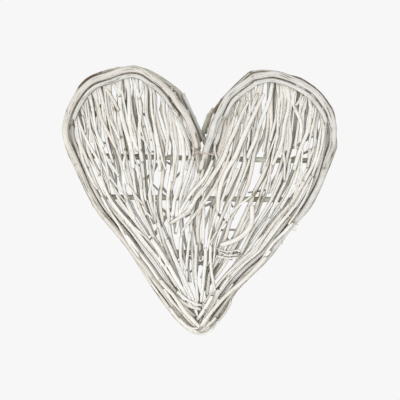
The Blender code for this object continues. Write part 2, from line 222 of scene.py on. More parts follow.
# Bending a willow rod
# A rod starts as a straight, capped cylinder, is divided along its length, and is bent on to its
# route. It swells a little at its knots, and both ends are cut across.
RING_SPACING = 0.003
SWAY_SPACING = 0.110
CURVE_STEPS = 40
CAP_INSET = 0.22
BULGE_SHARE = 0.045
BULGE_TURN = 0.7
BULGE_LENGTH = 0.011
KNOT_REACH = 0.0026
END_ROUNDING = 0.10
END_ROUNDING_REACH = 0.0008
CUT_SLOPES = (-0.5, 0.5)
CUT_REACH = 0.002
CUT_WEAR = 0.9
END_WEAR = 0.55
END_WEAR_REACH = 0.003
GRAIN_STEP = 0.61
SHARP_ANGLE = math.radians(50)
HEART_WIDTH = 0.450
HEART_HEIGHT = 0.4386
GAP = 0.0003
BUNDLE_GAP = 0.0008
rods_made = 0


def heart_place(across, up, height=0.0):
    """A point from shares of the heart's width and height."""
    return Vector((across * HEART_WIDTH, up * HEART_HEIGHT, height))


def curve_through(points, steps):
    """Evenly spaced points along a smooth curve through the given ones."""
    ends = [2 * points[0] - points[1]] + list(points) + [2 * points[-1] - points[-2]]
    fine = []
    for before, start, end, after in zip(ends, ends[1:], ends[2:], ends[3:]):
        for step in range(CURVE_STEPS):
            t = step / CURVE_STEPS
            fine.append(0.5 * (2 * start + (end - before) * t
                               + (2 * before - 5 * start + 4 * end - after) * t ** 2
                               + (3 * start - before - 3 * end + after) * t ** 3))
    fine.append(points[-1].copy())
    lengths = [0.0]
    for start, end in zip(fine, fine[1:]):
        lengths.append(lengths[-1] + (end - start).length)
    even = []
    index = 0
    for step in range(steps + 1):
        wanted = lengths[-1] * step / steps
        while index < len(fine) - 2 and lengths[index + 1] < wanted:
            index += 1
        span = max(lengths[index + 1] - lengths[index], 1e-9)
        even.append(fine[index].lerp(fine[index + 1], min(1.0, (wanted - lengths[index]) / span)))
    return even


def smooth_step(low, high, value):
    """0 below low, 1 above high, and a soft step between."""
    t = min(1.0, max(0.0, (value - low) / (high - low)))
    return t * t * (3 - 2 * t)


def kinked(route, amount, spacing, source):
    """The route with the small changes of direction that willow has at its knots, and the knots."""
    length = sum((end - start).length for start, end in zip(route, route[1:]))
    step_length = length / (len(route) - 1)
    knots = [0.0]
    while knots[-1] < length:
        knots.append(knots[-1] + spacing * source.uniform(0.6, 1.5))
    offsets = [amount * source.uniform(-1, 1) for knot in knots]
    moved = []
    index = 0
    for step, point in enumerate(route):
        along = step * step_length
        while index < len(knots) - 2 and knots[index + 1] < along:
            index += 1
        share = (along - knots[index]) / (knots[index + 1] - knots[index])
        share = 0.6 * share + 0.4 * smooth_step(0, 1, share)
        offset = offsets[index] + (offsets[index + 1] - offsets[index]) * share
        ahead = route[min(len(route) - 1, step + 1)] - route[max(0, step - 1)]
        sideways = Vector((-ahead.y, ahead.x, 0.0)).normalized()
        moved.append(point + sideways * offset)
    return moved, [knot for knot in knots[1:-1] if knot < length - 0.4 * spacing]


def add_rod(target, points, radius_at, sides=10, kink=0.0007, knot_spacing=0.042, swell=0.10,
            warmth=None, sway=0.0):
    """Bend one rod through points and add it to a bmesh. radius_at gives its radius at a share."""
    global rods_made
    rods_made += 1
    source = random.Random(rods_made)
    length = sum((end - start).length for start, end in zip(points, points[1:]))
    rings = max(6, round(length / RING_SPACING))
    route = curve_through(points, rings - 1)
    if sway:
        route = kinked(route, sway, SWAY_SPACING, source)[0]
    route, knots = kinked(route, kink, knot_spacing, source)
    rod = bmesh.new()
    bmesh.ops.create_cone(rod, cap_ends=True, segments=sides, radius1=1.0, radius2=1.0, depth=1.0)
    long_edges = [edge for edge in rod.edges if abs(edge.verts[0].co.z - edge.verts[1].co.z) > 0.5]
    bmesh.ops.subdivide_edges(rod, edges=long_edges, cuts=rings - 2)
    caps = [face for face in rod.faces if len(face.verts) == sides]
    for cap in caps:
        bmesh.ops.inset_region(rod, faces=[cap], thickness=CAP_INSET, depth=0.0)
    straight_layer = rod.verts.layers.float_vector.new("straight")
    tone_layer = rod.verts.layers.float.new("tone")
    wear_layer = rod.verts.layers.float.new("wear")
    warmth_layer = rod.verts.layers.float.new("warmth")
    tone = source.random()
    warmth = source.random() ** 3 if warmth is None else warmth
    bud_angles = [source.uniform(-0.3, math.pi + 0.3) for knot in knots]
    cut_slopes = (source.uniform(*CUT_SLOPES), source.uniform(*CUT_SLOPES))
    start_along = GRAIN_STEP * rods_made
    bare_places = [(heart_place(across, up), reach) for across, up, reach in BARE_PLACES]

    frames = []
    normal = Vector((0.0, 0.0, 1.0))
    for step in range(rings):
        tangent = (route[min(rings - 1, step + 1)] - route[max(0, step - 1)]).normalized()
        normal = (normal - tangent * normal.dot(tangent)).normalized()
        frames.append((route[step], tangent, tangent.cross(normal), normal))
    for vert in rod.verts:
        share = vert.co.z + 0.5
        step = min(rings - 1, max(0, round(share * (rings - 1))))
        place, tangent, across_axis, up_axis = frames[step]
        along = share * length
        spread = math.hypot(vert.co.x, vert.co.y)
        angle = math.atan2(vert.co.y, vert.co.x)
        radius = radius_at(share)
        bulge = BULGE_SHARE * noise.noise(Vector((
            math.cos(angle) * BULGE_TURN, math.sin(angle) * BULGE_TURN,
            (along + start_along) / BULGE_LENGTH)))
        knot_wear = 0.0
        for knot, bud in zip(knots, bud_angles):
            near = math.exp(-((along - knot) / KNOT_REACH) ** 2)
            if near > 0.01:
                side = max(0.0, math.cos(angle - bud))
                bulge += near * (swell + 2.4 * swell * side ** 6)
                knot_wear = max(knot_wear, near * (0.25 + 0.75 * side ** 3))
        end_distance = min(along, length - along)
        rounding = 1.0 - END_ROUNDING * math.exp(-end_distance / END_ROUNDING_REACH)
        reach = radius * (1.0 + bulge) * rounding * spread
        slope = (cut_slopes[0] * math.exp(-along / CUT_REACH)
                 - cut_slopes[1] * math.exp(-(length - along) / CUT_REACH))
        offset = across_axis * math.cos(angle) * reach + up_axis * math.sin(angle) * reach
        vert.co = place + offset + tangent * (slope * math.cos(angle) * reach)
        vert.co.z = max(0.0, vert.co.z)
        vert[straight_layer] = (math.cos(angle) * radius, math.sin(angle) * radius, along + start_along)
        vert[tone_layer] = tone
        vert[warmth_layer] = warmth
        on_cut = spread < 0.9
        wear = CUT_WEAR if on_cut else END_WEAR * math.exp(-end_distance / END_WEAR_REACH)
        for bare, bare_reach in bare_places:
            gap = math.hypot(place.x - bare.x, place.y - bare.y)
            wear = max(wear, CUT_WEAR * math.exp(-(gap / bare_reach) ** 2))
        vert[wear_layer] = min(1.0, max(wear, 0.5 * knot_wear))
    bmesh.ops.recalc_face_normals(rod, faces=rod.faces)
    mesh = bpy.data.meshes.new("rod")
    rod.to_mesh(mesh)
    rod.free()
    target.from_mesh(mesh)
    bpy.data.meshes.remove(mesh)


def finish_piece(name, shape, material, nodes, slot):
    """Turn a bmesh into a piece that stands for CAD nodes and rides on the heart."""
    mesh = bpy.data.meshes.new(name)
    shape.to_mesh(mesh)
    shape.free()
    mesh.materials.append(material)
    mesh.shade_smooth()
    mesh.set_sharp_from_angle(angle=SHARP_ANGLE)
    piece = bpy.data.objects.new(name, mesh)
    bpy.context.scene.collection.objects.link(piece)
    if nodes:
        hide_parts(*nodes)
    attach(piece, "root")
    return piece


def steady(radius):
    return lambda share: radius


def tapering(diameter, taper):
    return lambda share: diameter / 2 * (1 - (1 - taper) * share)


def swelling(diameter, start, end):
    """Full thickness a third of the way along, and shares of it at the two ends."""
    return lambda share: diameter / 2 * (start + (1 - start) * smooth_step(0, 0.35, share)
                                         - (1 - end) * smooth_step(0.35, 1, share))


# Cross struts and braces
# Straight lengths of unpainted willow behind the infill, from rim to rim. They lie on the floor when
# the heart lies on its back, and the twigs are wired to them.
STRUT_DIAMETER = 0.0090
BRACE_DIAMETER = 0.0064
RADIUS_SHARE = 0.49
REST_SHARE = 0.46
STRUTS = {
    "cross_strut_upper": ((-0.420, 0.166), (0.432, 0.146)),
    "cross_strut_lower": ((-0.343, 0.012), (0.357, 0.000)),
    "cross_strut_bottom": ((-0.180, -0.190), (0.172, -0.206)),
}
BRACES = {
    "back_brace_left": ((-0.190, -0.168), (-0.105, -0.030)),
    "back_brace_tip": ((0.008, -0.345), (0.070, -0.236)),
}
# Painted light: the struts' upward faces take a full pale wash that brightens them in the shade of the
# infill over them; their undersides show more bark.
bare_willow = bark_material(
    "bare_willow", Bark_Light=(0.68, 0.66, 0.50, 1.0), Bark_Dark=(0.32, 0.30, 0.20, 1.0),
    Wash_Light=(0.86, 0.86, 0.77, 1.0), Wash_Warm=(0.84, 0.83, 0.72, 1.0),
    Wash_Shade=(0.74, 0.73, 0.61, 1.0), Wash=1.05, Wash_Behind=0.42)
for rod_names, diameter in ((STRUTS, STRUT_DIAMETER), (BRACES, BRACE_DIAMETER)):
    for name, ends in rod_names.items():
        start, end = (heart_place(*share, diameter * REST_SHARE) for share in ends)
        shape = bmesh.new()
        add_rod(shape, [start, start.lerp(end, 0.5), end], steady(diameter * RADIUS_SHARE), kink=0.0004)
        finish_piece(name, shape, bare_willow, [name], "bare_willow")

# Back rim rods
# Two long rods for each lobe, bent from the cleft over the crown to the tip. The outer one makes the
# silhouette and the inner one lies beside it. Both have a darker finish than the rods over them: partly
# less wash, partly painted shade under the front rim rods.
BACK_ROD_DIAMETER = 0.0094
MAIN_ROD_DIAMETER = 0.0120
INNER_ROD_DIAMETER = 0.0080
SECOND_ROD_DIAMETER = 0.0074
TWIG_DIAMETER = 0.0066
TWIG_SPREAD = 0.10
ROD_TAPER = 0.80
TWIG_TAPER = 0.84
ROD_FLAT = math.cos(math.pi / 8)
TWIG_FLAT = math.cos(math.pi / 6)
GUIDE_STEPS = 600
DIRECTION_WINDOW = 8
LEFT_OUTLINE = (
    (0.029, 0.139), (0.014, 0.229), (-0.042, 0.351), (-0.065, 0.400), (-0.080, 0.418), (-0.159, 0.475),
    (-0.230, 0.500), (-0.322, 0.493), (-0.412, 0.455), (-0.477, 0.361), (-0.500, 0.270),
    (-0.491, 0.196), (-0.448, 0.096), (-0.378, -0.041), (-0.272, -0.175), (-0.184, -0.316),
    (-0.118, -0.411), (-0.065, -0.469), (0.006, -0.5045),
)
RIGHT_OUTLINE = (
    (-0.018, 0.099), (0.014, 0.229), (0.036, 0.315), (0.087, 0.390), (0.171, 0.475), (0.194, 0.484),
    (0.290, 0.479), (0.403, 0.426), (0.467, 0.353), (0.492, 0.290), (0.5012, 0.206), (0.496, 0.182),
    (0.471, 0.116), (0.413, -0.017), (0.330, -0.117), (0.250, -0.225), (0.138, -0.340),
    (0.079, -0.439), (0.006, -0.5045),
)
LEFT_MAIN_STATIONS = (
    (0.030, 0.0140), (0.100, 0.0105), (0.157, 0.0165), (0.210, 0.0120), (0.262, 0.0075),
    (0.330, 0.0130), (0.420, 0.0090), (0.490, 0.0070), (0.553, 0.0085), (0.620, 0.0062),
    (0.760, 0.0062), (0.840, 0.0110), (0.890, 0.0135), (0.960, 0.0110), (0.993, 0.0080),
)
RIGHT_MAIN_STATIONS = (
    (0.010, 0.0088), (0.050, 0.0085), (0.085, 0.0112), (0.129, 0.0125), (0.177, 0.0075),
    (0.242, 0.0130), (0.300, 0.0075), (0.410, 0.0068), (0.466, 0.0066), (0.530, 0.0104),
    (0.600, 0.0062), (0.640, 0.0080), (0.700, 0.0062), (0.780, 0.0062), (0.838, 0.0090),
    (0.890, 0.0080), (0.940, 0.0120), (0.998, 0.0085),
)
LEFT_DIP = (0.470, 0.560)
RIGHT_DIP = (0.475, 0.560)
TIP_CLIMB = (0.905, 0.968)
BACK_SPANS = {"left": (0.046, 0.995), "right": (0.085, 0.979)}
BACK_INNER_SPANS = {"left": (0.105, 0.930), "right": (0.135, 0.905)}
LOW_LEVEL = BACK_ROD_DIAMETER * ROD_FLAT + GAP
THICKEST_TWIG = TWIG_DIAMETER * (1 + TWIG_SPREAD) * TWIG_FLAT
FRONT_TWIG_LEVEL = LOW_LEVEL + THICKEST_TWIG + GAP
TOP_LEVEL = FRONT_TWIG_LEVEL + THICKEST_TWIG + GAP


def read_stations(stations, share):
    """The softly stepped value at a share, from pairs of share and value."""
    if share <= stations[0][0]:
        return stations[0][1]
    for (low, first), (high, second) in zip(stations, stations[1:]):
        if share <= high:
            return first + (second - first) * smooth_step(low, high, share)
    return stations[-1][1]


class Lobe:
    """One half of the heart. side is 1 for the lobe at -X, whose inside is left of its outline."""

    def __init__(self, side, outline, main_stations, dip, climb=None):
        self.side = side
        self.climb = climb
        self.line = curve_through([heart_place(*share) for share in outline], GUIDE_STEPS)
        self.main_stations = main_stations
        self.dip = dip

    def place(self, share, inset, height=0.0):
        """The point at a share of the outline's length, moved into the lobe by an inset."""
        position = min(GUIDE_STEPS - 1e-6, max(0.0, share * GUIDE_STEPS))
        index = int(position)
        ahead = self.line[min(GUIDE_STEPS, index + DIRECTION_WINDOW)]
        behind = self.line[max(0, index - DIRECTION_WINDOW)]
        direction = (ahead - behind).normalized()
        inward = Vector((-direction.y, direction.x, 0.0)) * self.side
        on_line = self.line[index].lerp(self.line[index + 1], position - index)
        return on_line + inward * inset + Vector((0.0, 0.0, height))

    def main_radius(self, share):
        return MAIN_ROD_DIAMETER / 2 * (1 - (1 - ROD_TAPER) * share)

    def main_inset(self, share):
        return read_stations(self.main_stations, share)

    def bundle_edge(self, share):
        """Inset of the inner edge of the main rod and the rod beside it down the flank."""
        return self.main_inset(share) + self.main_radius(share) + BUNDLE_GAP + SECOND_ROD_DIAMETER

    def front_level(self, share):
        """Height of the underside of a front rim rod: over the twigs at the crown, low down the flank."""
        level = TOP_LEVEL + (LOW_LEVEL - TOP_LEVEL) * smooth_step(*self.dip, share)
        if self.climb:
            level += (MAIN_ROD_DIAMETER * ROD_FLAT + GAP) * smooth_step(*self.climb, share)
        return level

    def follow(self, span, inset, radius, level, stations=60):
        """Points on the middle line of a rod that follows the outline over a span of shares."""
        shares = [span[0] + (span[1] - span[0]) * station / stations for station in range(stations + 1)]
        return [self.place(share, inset(share), level(share) + radius(share)) for share in shares]


lobes = {
    "left": Lobe(1, LEFT_OUTLINE, LEFT_MAIN_STATIONS, LEFT_DIP),
    "right": Lobe(-1, RIGHT_OUTLINE, RIGHT_MAIN_STATIONS, RIGHT_DIP, TIP_CLIMB),
}
# A darker copy of the wash for the back layers and the backing rods: partly thinner wash, partly painted
# shade for the depth at which they lie.
shaded_thin_wash = bark_material(
    "thinly_washed_shaded_willow", Bark_Light=(0.40, 0.37, 0.26, 1.0), Bark_Dark=(0.15, 0.125, 0.08, 1.0),
    Wash_Light=(0.86, 0.855, 0.80, 1.0), Wash_Shade=(0.62, 0.61, 0.53, 1.0), Wash=0.94,
    Wash_Behind=0.72)
shaded_rim = bark_material(
    "shaded_rim_willow", Bark_Light=(0.38, 0.345, 0.26, 1.0), Bark_Dark=(0.13, 0.11, 0.075, 1.0),
    Wash_Light=(0.80, 0.79, 0.74, 1.0), Wash_Shade=(0.50, 0.485, 0.41, 1.0), Wash=0.80,
    Wash_Behind=0.32, Streaks=2.0)
for side_name, lobe in lobes.items():
    radius = BACK_ROD_DIAMETER * RADIUS_SHARE
    rows = (("back_rod", BACK_SPANS, radius), ("back_rod_inner", BACK_INNER_SPANS,
                                               3 * BACK_ROD_DIAMETER / 2 + BUNDLE_GAP))
    for row_name, spans, inset in rows:
        name = f"{row_name}_{side_name}"
        points = lobe.follow(spans[side_name], lambda share: inset, steady(radius), lambda share: 0.0)
        shape = bmesh.new()
        add_rod(shape, points, steady(radius), sides=12, kink=0.0005, knot_spacing=0.075, swell=0.06)
        finish_piece(name, shape, shaded_rim, [name], "shaded_willow")

# Back and front twigs
# Thin willow twigs that fill the heart in two layers, fanned from the crown to the tip. Their tops
# are caught between the back and front rim rods, and their feet end where there is no more room.
# Thinner twigs fill the spaces between them.
TOP_TUCK = 0.0095
SIDE_TUCK = 0.0080
SHOULDER_SHARES = (0.10, 0.452)
LEAN = 0.022
CENTRE_STATIONS = ((-0.20, 0.012), (0.06, -0.050), (0.28, -0.036), (0.42, 0.000))
FIRST_ROW = 0.300
LAST_ROW = -0.400
ROW_STEP = 0.100
FOOT_SCATTER = 0.030
WAVE = 0.0009
TWIG_STEPS = 10
BARK_SWELL = 1.07
TWIG_REST = 0.92
WAVE_TURNS = 9.0
CLEFT_SHARES = (0.05, 0.20)
LAST_FRACTION = 0.975
ROW_SEARCH = 0.005
TWIG_SEED = 11
FILLER_DIAMETER = 0.0046
LAYERS = (
    ("back", 8, 0.10, LOW_LEVEL, 0.60, "shaded_willow"),
    ("front", 10, -0.04, FRONT_TWIG_LEVEL, TWIG_TAPER, "whitewashed_willow"),
)
full_wash = bark_material(
    "whitewashed_willow", Bark_Light=(0.40, 0.34, 0.23, 1.0), Bark_Dark=(0.15, 0.11, 0.065, 1.0),
    Wash_Light=(0.93, 0.925, 0.89, 1.0), Wash_Shade=(0.70, 0.685, 0.61, 1.0), Wash=1.00,
    Wash_Behind=0.38)
# The back layer takes the darker copy of the wash, painted shade for its depth; the front layer takes the
# full wash.
WASHES = {"shaded_willow": shaded_thin_wash, "whitewashed_willow": full_wash}


def across_at(line, height):
    """The X of a descending line of points at a height."""
    for upper, lower in zip(line, line[1:]):
        if lower.y <= height:
            return upper.lerp(lower, (upper.y - height) / max(upper.y - lower.y, 1e-9)).x
    return line[-1].x


def top_at(line, across):
    """The highest Y at which a line of points passes over an X."""
    tops = [start.lerp(end, (across - start.x) / (end.x - start.x)).y
            for start, end in zip(line, line[1:])
            if min(start.x, end.x) <= across <= max(start.x, end.x) and start.x != end.x]
    return max(tops) if tops else max(point.y for point in line)


class Fan:
    """The spaces of one layer of twigs in one lobe, between the flank and the middle of the heart."""

    def __init__(self, lobe, count, drift):
        self.lobe = lobe
        self.count = count
        self.drift = drift
        self.clear = TWIG_DIAMETER * (1 + TWIG_SPREAD) / 2 + WAVE + GAP
        shares = [step / GUIDE_STEPS for step in range(GUIDE_STEPS + 1)]
        self.arch = [lobe.place(share, TOP_TUCK) for share in shares
                     if SHOULDER_SHARES[0] <= share <= SHOULDER_SHARES[1]]
        self.flank = [lobe.place(share, lobe.bundle_edge(share) + self.clear) for share in shares
                      if share >= SHOULDER_SHARES[1]]
        self.cleft_side = [lobe.place(share, SIDE_TUCK) for share in reversed(shares)
                           if CLEFT_SHARES[0] <= share <= CLEFT_SHARES[1]]

    def row_edges(self, height):
        outer = across_at(self.flank, min(height, self.flank[0].y))
        side = self.lobe.side
        inner = read_stations(CENTRE_STATIONS, -height / HEART_HEIGHT) * HEART_WIDTH - side * self.clear
        if height > self.cleft_side[-1].y:
            beside_cleft = across_at(self.cleft_side, height)
            inner = min(inner, beside_cleft) if side > 0 else max(inner, beside_cleft)
        return outer, inner

    def lowest_row(self, neighbours):
        """The lowest row where this many twigs still lie side by side."""
        share = FIRST_ROW
        while share > LAST_ROW:
            outer, inner = self.row_edges(share * HEART_HEIGHT)
            if abs(inner - outer) < neighbours * 2 * self.clear:
                break
            share -= ROW_SEARCH
        return share

    def twig(self, fraction, foot_share, drift=None):
        """Points along a twig at this fraction of the way from the flank to the middle."""
        drift = self.drift if drift is None else drift
        outer, inner = self.row_edges(FIRST_ROW * HEART_HEIGHT)
        across = outer + (inner - outer) * min(LAST_FRACTION, max(0.0, fraction - drift / 2))
        top_across = across - self.lobe.side * LEAN * HEART_WIDTH * (1 - fraction)
        top = Vector((top_across, top_at(self.arch, top_across), 0.0))
        points = [top]
        rows = [FIRST_ROW - ROW_STEP * row for row in range(round((FIRST_ROW - LAST_ROW) / ROW_STEP) + 1)]
        rows = [row for row in rows if row > foot_share + ROW_STEP / 3] + [foot_share]
        for row in rows:
            height = row * HEART_HEIGHT
            if height > top.y - ROW_STEP / 3 * HEART_HEIGHT:
                continue
            depth = (FIRST_ROW - row) / (FIRST_ROW - LAST_ROW)
            outer, inner = self.row_edges(height)
            across = outer + (inner - outer) * (fraction + drift * (depth - 0.5))
            points.append(Vector((across, height, 0.0)))
        return points


fans = {}
for seed, (side_name, lobe) in enumerate(lobes.items()):
    random_source = random.Random(TWIG_SEED + seed)
    for layer, count, drift, level, taper, slot in LAYERS:
        fan = Fan(lobe, count, drift)
        fans[layer, side_name] = fan
        shape = bmesh.new()
        names = []
        for number in range(count):
            fraction = (number + 0.5) / count
            diameter = TWIG_DIAMETER * (1 + TWIG_SPREAD * random_source.uniform(-1, 1))
            neighbours = count / (4 if number % 4 == 1 else 2 if number % 2 else 1)
            foot_share = fan.lowest_row(neighbours) + FOOT_SCATTER * random_source.random()
            phase = random_source.uniform(0, 2 * math.pi)
            line = curve_through(fan.twig(fraction, foot_share), TWIG_STEPS)
            for step, point in enumerate(line):
                point.x += WAVE * math.sin(phase + WAVE_TURNS * step / TWIG_STEPS)
                point.z = level + diameter / 2 * TWIG_REST
            add_rod(shape, line, tapering(diameter * BARK_SWELL, taper), kink=0.0027, knot_spacing=0.036,
                    sway=0.0054)
            names.append(f"{layer}_twig_{side_name}_{number + 1:02d}")
        finish_piece(f"{layer}_twigs_{side_name}", shape, WASHES[slot], names, slot)

# Filler twigs
# Thinner twigs between the others. Those of the back layer stay in its spaces. Those of the front
# layer start between two twigs under the rim and climb over their neighbours further down. Some are
# forked, as willow tops are, with the branch pointing up to the crown.
BACK_FILLERS = 3
FRONT_FILLERS = 7
BETWEEN_DIAMETER = 0.0063
FILLER_SEED = 31
BACK_RANGES = {"scatter": 0.03, "leans": (-0.24, 0.24), "feet": (-0.12, 0.10)}
BETWEEN_RANGES = {"scatter": 0.012, "leans": (-0.04, 0.14), "feet": (-0.01, 0.19)}
FRONT_RANGES = {"scatter": 0.02, "leans": (-0.10, 0.30), "feet": (-0.06, 0.19)}
FORK_ROOTS = (4, 7)
FORK_LEANS = (0.030, 0.075)


def relaxed(line, turns):
    """The line with its inner points pulled between their neighbours, as a stiff twig straightens."""
    for turn in range(turns):
        middle = [(before + after) / 2 for before, after in zip(line, line[2:])]
        line = [line[0]] + middle + [line[-1]]
    return line


def filler_line(fan, fraction, random_source, scatter, leans, feet):
    """The line of a filler near a fraction of the way across, with a lean and a foot of its own."""
    fraction += random_source.uniform(-scatter, scatter)
    lean = random_source.uniform(*leans)
    return curve_through(fan.twig(fraction, random_source.uniform(*feet), lean), TWIG_STEPS)


def side_branch(fan, line, root, lean):
    """Points on a branch that leaves a twig at one of its steps and leans away up to the crown."""
    branch = []
    for step in range(root + 1):
        point = line[step].copy()
        point.x += lean * (line[step] - line[root]).length ** 0.92
        point.y = min(point.y, top_at(fan.arch, point.x))
        branch.append(point)
    return branch


def add_filler(target, fan, line, diameter, level_at, random_source, fork_chance):
    """Add one thin twig, and sometimes a branch of it, at the heights that level_at gives."""
    for step, point in enumerate(line):
        point.z = level_at(step / TWIG_STEPS) + diameter / 2
    add_rod(target, line, tapering(diameter, 0.72), sides=8, kink=0.0027, knot_spacing=0.032, sway=0.005)
    if random_source.random() < fork_chance:
        root = random_source.randint(*FORK_ROOTS)
        lean = random_source.choice((-1.0, 1.0)) * random_source.uniform(*FORK_LEANS)
        branch = side_branch(fan, line, root, lean)
        branch_diameter = diameter * random_source.uniform(0.55, 0.80)
        add_rod(target, branch, tapering(branch_diameter, 1.0), sides=8, kink=0.0016, knot_spacing=0.030)


for seed, side_name in enumerate(lobes):
    random_source = random.Random(FILLER_SEED + seed)
    fan = fans["back", side_name]
    shape = bmesh.new()
    for number in range(BACK_FILLERS):
        line = filler_line(fan, (number + 0.5) / BACK_FILLERS, random_source, **BACK_RANGES)
        diameter = FILLER_DIAMETER * random_source.uniform(0.85, 1.25)
        add_filler(shape, fan, relaxed(line, random_source.randint(0, 12)), diameter,
                   lambda share: LOW_LEVEL - diameter - GAP, random_source, 0.3)
    finish_piece(f"back_fillers_{side_name}", shape, shaded_thin_wash, [], "shaded_willow")

    fan = fans["front", side_name]
    shape = bmesh.new()
    for number in range(fan.count):
        line = filler_line(fan, number / fan.count, random_source, **BETWEEN_RANGES)
        add_filler(shape, fan, relaxed(line, random_source.randint(0, 4)),
                   BETWEEN_DIAMETER * random_source.uniform(0.85, 1.10),
                   lambda share: FRONT_TWIG_LEVEL + 0.3 * THICKEST_TWIG * smooth_step(0.3, 0.9, share),
                   random_source, 0.5)
    finish_piece(f"between_twigs_{side_name}", shape, full_wash, [], "whitewashed_willow")

    shape = bmesh.new()
    for number in range(FRONT_FILLERS):
        line = filler_line(fan, (number + 0.5) / FRONT_FILLERS, random_source, **FRONT_RANGES)
        add_filler(shape, fan, relaxed(line, random_source.randint(0, 12)),
                   FILLER_DIAMETER * random_source.uniform(0.70, 1.25),
                   lambda share: FRONT_TWIG_LEVEL + (TOP_LEVEL - FRONT_TWIG_LEVEL) * smooth_step(
                       0.02, 0.30, share), random_source, 0.35)
    finish_piece(f"front_fillers_{side_name}", shape, full_wash, [], "whitewashed_willow")

# Short twigs
# Short thin lengths pushed in anyhow. Some lie across the front of the infill at a slight angle, and
# some slant behind it, where they show through its gaps.
SHORT_TWIGS = (
    ("front", 17, 0.0036, (0.024, 0.056), (0.10, 0.36), TOP_LEVEL, full_wash, "whitewashed_willow"),
    ("back", 14, 0.0042, (0.028, 0.060), (0.50, 1.15), 0.0008, shaded_thin_wash, "shaded_willow"),
)
ARCH_MARGIN = 0.012
SHORT_SEED = 71
SHORT_FRACTIONS = (0.04, 0.94)
SHORT_HEIGHTS = (-0.24, 0.37)
SHORT_THICKNESS = (0.75, 1.25)
SHORT_BOW = 0.003


def slanted_twig(fan, fraction, height, length, angle):
    """Both ends of a short twig that is turned by an angle from the run of its neighbours."""
    ends = []
    for step in (length / 2, -length / 2):
        outer, inner = fan.row_edges(height + step)
        ends.append(Vector((outer + (inner - outer) * fraction, height + step, 0.0)))
    middle = (ends[0] + ends[1]) / 2
    turn = Matrix.Rotation(angle, 3, "Z")
    return [middle + turn @ (end - middle) for end in ends]


def stays_inside(fan, end):
    """Whether the end of a short twig stays under the crown and inside the flank."""
    outer, inner = fan.row_edges(end.y)
    return end.y < top_at(fan.arch, end.x) - ARCH_MARGIN and (end.x - outer) * fan.lobe.side > 0


for seed, side_name in enumerate(lobes):
    random_source = random.Random(SHORT_SEED + seed)
    for layer, count, thickness, lengths, angles, level, finish, slot in SHORT_TWIGS:
        fan = fans[layer, side_name]
        shape = bmesh.new()
        for number in range(count):
            fraction = random_source.uniform(*SHORT_FRACTIONS)
            height = random_source.uniform(*SHORT_HEIGHTS) * HEART_HEIGHT
            length = random_source.uniform(*lengths)
            angle = random_source.choice((-1.0, 1.0)) * random_source.uniform(*angles)
            diameter = thickness * random_source.uniform(*SHORT_THICKNESS)
            bow = random_source.uniform(-SHORT_BOW, SHORT_BOW)
            top, foot = slanted_twig(fan, fraction, height, length, angle)
            if stays_inside(fan, top) and stays_inside(fan, foot):
                points = [top, (top + foot) / 2 + Vector((bow, 0.0, 0.0)), foot]
                for point in points:
                    point.z = level + diameter / 2
                add_rod(shape, points, tapering(diameter, 0.75), sides=8, kink=0.0012, knot_spacing=0.024)
        finish_piece(f"short_twigs_{layer}_{side_name}", shape, finish, [], slot)

# Front rim rods
# One heavy rod for each lobe from the cleft over the crown to the tip, a thinner one inside it that
# covers the tops of the twigs, and a second one inside it down the flank.
INNER_SPANS = {"left": (0.112, 0.462), "right": (0.066, 0.468)}
SECOND_SPANS = {"left": (0.474, 0.930), "right": (0.490, 0.915)}
MAIN_TRIM = 0.99
INNER_TRIM = 0.98
rim_wash = bark_material(
    "whitewashed_rim", Bark_Light=(0.42, 0.38, 0.30, 1.0), Bark_Dark=(0.14, 0.115, 0.085, 1.0),
    Wash_Light=(0.80, 0.795, 0.775, 1.0), Wash_Warm=(0.77, 0.725, 0.67, 1.0),
    Wash_Shade=(0.53, 0.515, 0.46, 1.0), Wash=0.90, Wash_Behind=0.42, Streaks=2.4)
for side_name, lobe in lobes.items():
    main_span = (lobe.main_stations[0][0], lobe.main_stations[-1][0])
    main_points = lobe.follow(main_span, lobe.main_inset, lobe.main_radius, lobe.front_level, 90)
    shape = bmesh.new()
    add_rod(shape, main_points, lambda share: lobe.main_radius(
        main_span[0] + (main_span[1] - main_span[0]) * share) * MAIN_TRIM, sides=16, kink=0.0004,
        knot_spacing=0.085, swell=0.05)
    finish_piece(f"main_rod_{side_name}", shape, rim_wash, [f"main_rod_{side_name}"],
                 "whitewashed_willow")
    for row_name, spans, diameter, level in (
        ("inner_rod", INNER_SPANS, INNER_ROD_DIAMETER, lambda share: TOP_LEVEL),
        ("second_rod", SECOND_SPANS, SECOND_ROD_DIAMETER, lambda share: LOW_LEVEL),
    ):
        name = f"{row_name}_{side_name}"
        radius = diameter / 2
        points = lobe.follow(
            spans[side_name],
            lambda share: lobe.main_inset(share) + lobe.main_radius(share) + BUNDLE_GAP + radius,
            steady(radius), level)
        shape = bmesh.new()
        add_rod(shape, points, steady(radius * INNER_TRIM), sides=12, kink=0.0005, knot_spacing=0.06,
                swell=0.07)
        finish_piece(name, shape, rim_wash, [name], "whitewashed_willow")

